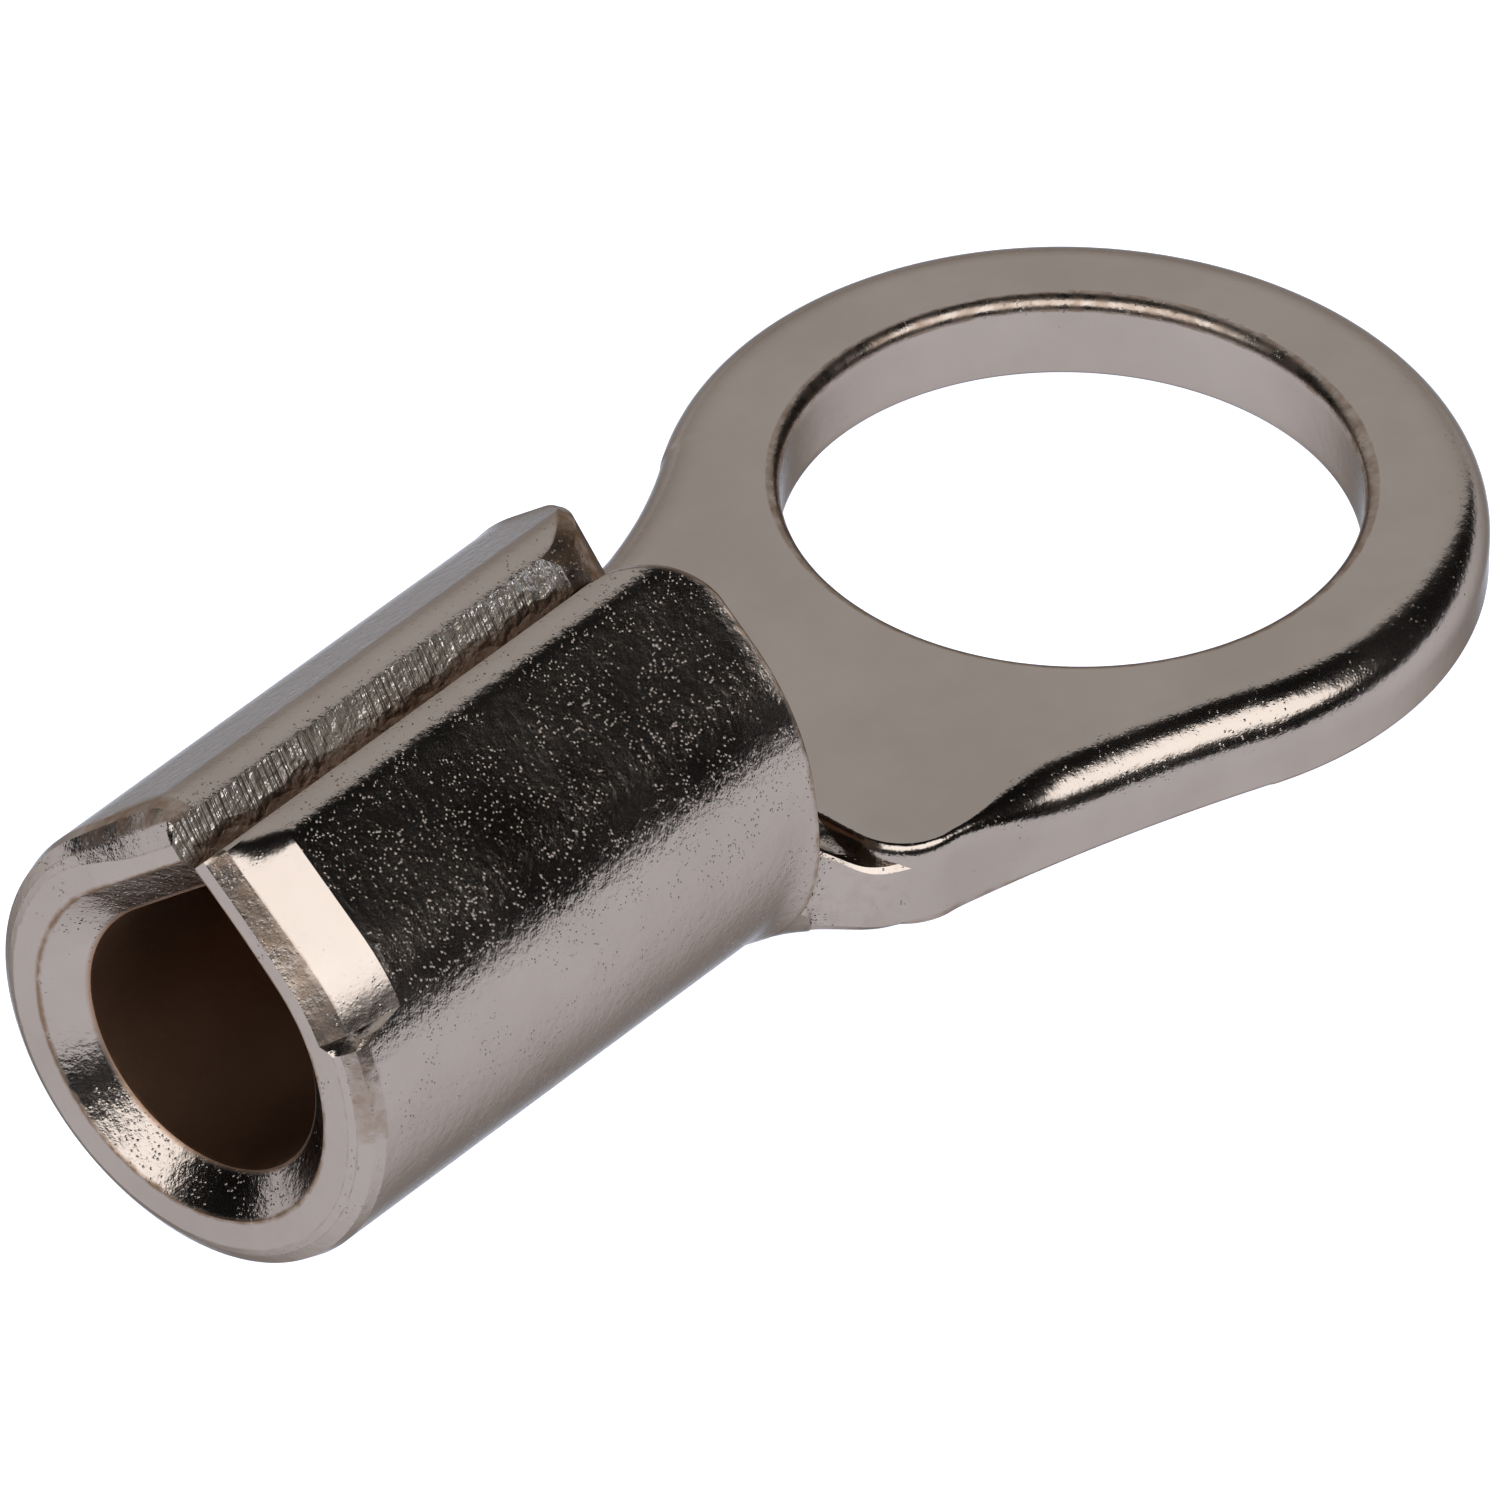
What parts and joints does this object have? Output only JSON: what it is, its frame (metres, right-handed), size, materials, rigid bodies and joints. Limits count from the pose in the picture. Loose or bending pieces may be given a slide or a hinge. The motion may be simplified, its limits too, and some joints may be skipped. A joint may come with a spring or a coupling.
{
  "type": "ring terminal",
  "caption": "Uninsulated crimp terminal: a flat stud ring on a waisted tongue, necked down into a rolled wire barrel with a butted V seam and a bell mouth.",
  "frame": {"origin": "centre of the stud hole on the underside of the flat tongue", "axes": "+Z along the stud, out of the tongue's top face; -X along the wire barrel, out of its mouth; +X to the tip of the ring; the seam is on the +Z side of the barrel"},
  "size_m": [0.0159, 0.0074, 0.0044],
  "materials": {
    "tin_plate": "bright tin plating over copper, fine grained, with sheared edges and tool marks at the seam and the mouth"
  },
  "bodies": {
    "root": {"terminal": "tin_plate"}
  },
  "joints": []
}
